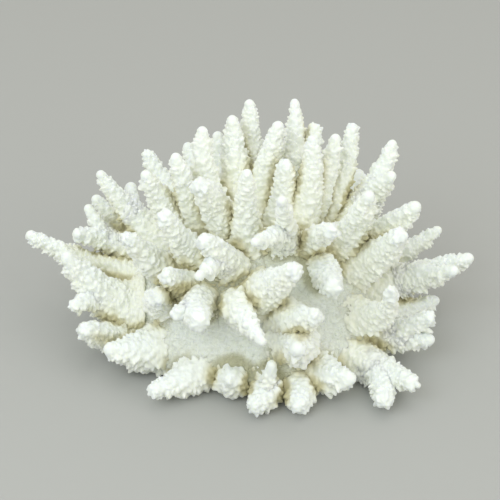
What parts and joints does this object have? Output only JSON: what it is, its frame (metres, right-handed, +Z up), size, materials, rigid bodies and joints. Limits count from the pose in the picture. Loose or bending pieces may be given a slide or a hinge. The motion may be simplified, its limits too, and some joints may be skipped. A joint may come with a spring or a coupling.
{
  "type": "stony coral colony",
  "caption": "White dried stony coral: a low domed colony of knobbly tapering fingers on one fused base, cut off flat underneath.",
  "frame": {"origin": "middle of the flat cut under the base, on the surface the colony stands on", "axes": "+Z up from the cut, +X to the right of the pictured side, -Y towards its front"},
  "size_m": [0.2021, 0.158, 0.0974],
  "materials": {
    "coral_fingers": "bleached, dry and matt, with bluish white smooth tips and cream between the cups",
    "coral_base": "bleached, dry and matt, finely granular, warm white"
  },
  "bodies": {
    "root": {"base": "coral_base", "crown_finger_023": "coral_fingers", "crown_finger_027": "coral_fingers", "crown_finger_035": "coral_fingers", "crown_finger_059": "coral_fingers", "crown_finger_060": "coral_fingers", "crown_finger_068": "coral_fingers", "crown_finger_163": "coral_fingers", "crown_finger_190": "coral_fingers", "crown_finger_231": "coral_fingers", "crown_finger_272": "coral_fingers", "crown_finger_309": "coral_fingers", "crown_finger_342": "coral_fingers", "crown_finger_357": "coral_fingers", "lower_finger_040": "coral_fingers", "lower_finger_071": "coral_fingers", "lower_finger_089": "coral_fingers", "lower_finger_131": "coral_fingers", "lower_finger_166": "coral_fingers", "lower_finger_177": "coral_fingers", "lower_finger_200": "coral_fingers", "lower_finger_224": "coral_fingers", "lower_finger_261": "coral_fingers", "lower_finger_273": "coral_fingers", "lower_finger_274": "coral_fingers", "lower_finger_294": "coral_fingers", "lower_finger_352": "coral_fingers", "middle_finger_050": "coral_fingers", "middle_finger_064": "coral_fingers", "middle_finger_095": "coral_fingers", "middle_finger_107": "coral_fingers", "middle_finger_111": "coral_fingers", "middle_finger_141": "coral_fingers", "middle_finger_146": "coral_fingers", "middle_finger_158": "coral_fingers", "middle_finger_163": "coral_fingers", "middle_finger_210": "coral_fingers", "middle_finger_220": "coral_fingers", "middle_finger_238": "coral_fingers", "middle_finger_247": "coral_fingers", "middle_finger_267": "coral_fingers", "middle_finger_290": "coral_fingers", "middle_finger_315": "coral_fingers", "middle_finger_332": "coral_fingers", "middle_finger_342": "coral_fingers", "skirt_finger_020": "coral_fingers", "skirt_finger_046": "coral_fingers", "skirt_finger_085": "coral_fingers", "skirt_finger_112": "coral_fingers", "skirt_finger_132": "coral_fingers", "skirt_finger_145": "coral_fingers", "skirt_finger_165": "coral_fingers", "skirt_finger_181": "coral_fingers", "skirt_finger_190": "coral_fingers", "skirt_finger_217": "coral_fingers", "skirt_finger_238": "coral_fingers", "skirt_finger_245": "coral_fingers", "skirt_finger_308": "coral_fingers", "skirt_finger_331": "coral_fingers", "skirt_finger_354": "coral_fingers"}
  },
  "joints": []
}
